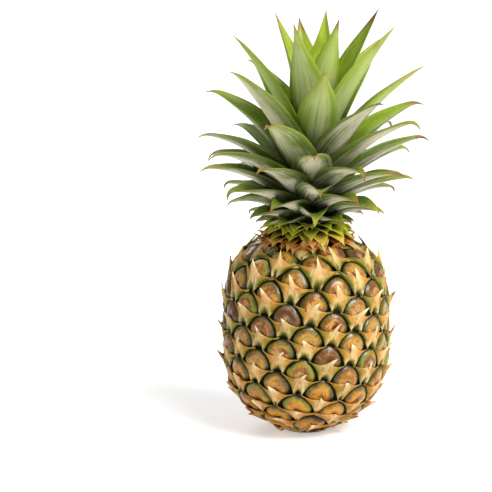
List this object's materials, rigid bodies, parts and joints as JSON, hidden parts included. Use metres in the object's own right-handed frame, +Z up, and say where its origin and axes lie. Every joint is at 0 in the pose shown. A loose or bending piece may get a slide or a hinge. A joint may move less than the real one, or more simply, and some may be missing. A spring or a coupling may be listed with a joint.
{
  "type": "pineapple",
  "caption": "Whole ripe pineapple standing on its base: barrel-shaped fruit of spiral eyes with pointed bracts, under a spreading leafy crown.",
  "frame": {"origin": "middle of the cut stalk's face, on which the fruit stands", "axes": "+Z up along the fruit's axis towards the crown, -Y towards the pictured side, +X to its right"},
  "size_m": [0.1757, 0.1788, 0.313],
  "materials": {
    "fruit_skin": "waxy fruit skin, orange brown and olive green with pale spines, half gloss",
    "stalk": "dry cut fibres, pale tan, matt",
    "bract": "papery, orange brown to lime green, matt",
    "leaf": "stiff green leaf with a grey waxy bloom, half gloss"
  },
  "bodies": {
    "root": {"fruit": "fruit_skin", "cut_stalk": "stalk", "neck_bracts": "bract", "crown": "leaf"}
  },
  "joints": []
}
